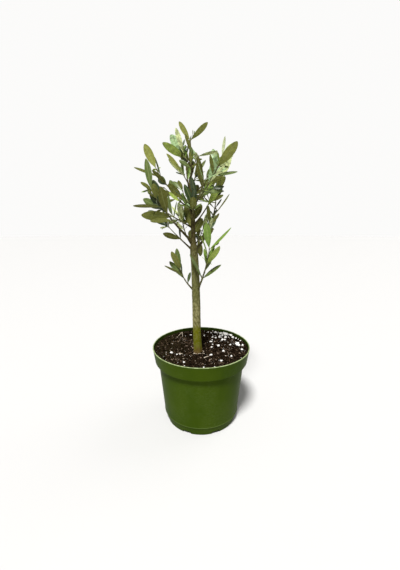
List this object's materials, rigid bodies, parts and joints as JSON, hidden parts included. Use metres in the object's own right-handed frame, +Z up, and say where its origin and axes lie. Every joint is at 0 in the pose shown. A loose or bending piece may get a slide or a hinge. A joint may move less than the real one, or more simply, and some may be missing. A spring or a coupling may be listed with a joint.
{
  "type": "potted young olive tree",
  "caption": "Young olive tree grown as a small standard with a bare trunk and an open crown of narrow leaves, in a round plastic nursery pot of potting mix.",
  "frame": {"origin": "centre of the pot's underside, on the ground", "axes": "+Z up along the trunk; -Y is the front, the side that the picture shows; +X to the right"},
  "size_m": [0.193, 0.182, 0.4776],
  "materials": {
    "pot_plastic": "satin",
    "potting_mix": "matte",
    "bark": "matte",
    "olive_foliage": "satin"
  },
  "bodies": {
    "root": {"bough_back_left": "bark", "bough_back_mid": "bark", "bough_back_right": "bark", "bough_fore_left": "bark", "bough_fore_right": "bark", "bough_high_left": "bark", "bough_high_right": "bark", "bough_leader_left": "bark", "bough_leader_right": "bark", "bough_low_left": "bark", "bough_low_right": "bark", "bough_lower_left": "bark", "bough_mid_left": "bark", "bough_rear_high_left": "bark", "bough_rear_high_right": "bark", "bough_rear_left": "bark", "bough_rear_low": "bark", "bough_rear_mid": "bark", "bough_rear_right": "bark", "bough_rear_top": "bark", "bough_top_left": "bark", "leaves_back_left": "olive_foliage", "leaves_back_mid": "olive_foliage", "leaves_back_right": "olive_foliage", "leaves_fore_left": "olive_foliage", "leaves_fore_right": "olive_foliage", "leaves_high_left": "olive_foliage", "leaves_high_right": "olive_foliage", "leaves_leader_left": "olive_foliage", "leaves_leader_right": "olive_foliage", "leaves_low_left": "olive_foliage", "leaves_low_right": "olive_foliage", "leaves_lower_left": "olive_foliage", "leaves_mid_left": "olive_foliage", "leaves_rear_high_left": "olive_foliage", "leaves_rear_high_right": "olive_foliage", "leaves_rear_left": "olive_foliage", "leaves_rear_low": "olive_foliage", "leaves_rear_mid": "olive_foliage", "leaves_rear_right": "olive_foliage", "leaves_rear_top": "olive_foliage", "leaves_sprig_back": "olive_foliage", "leaves_sprig_front": "olive_foliage", "leaves_tip": "olive_foliage", "leaves_top_front": "olive_foliage", "leaves_top_left": "olive_foliage", "leaves_top_right": "olive_foliage", "pot": "pot_plastic", "potting_mix": "potting_mix", "trunk": "bark"}
  },
  "joints": []
}
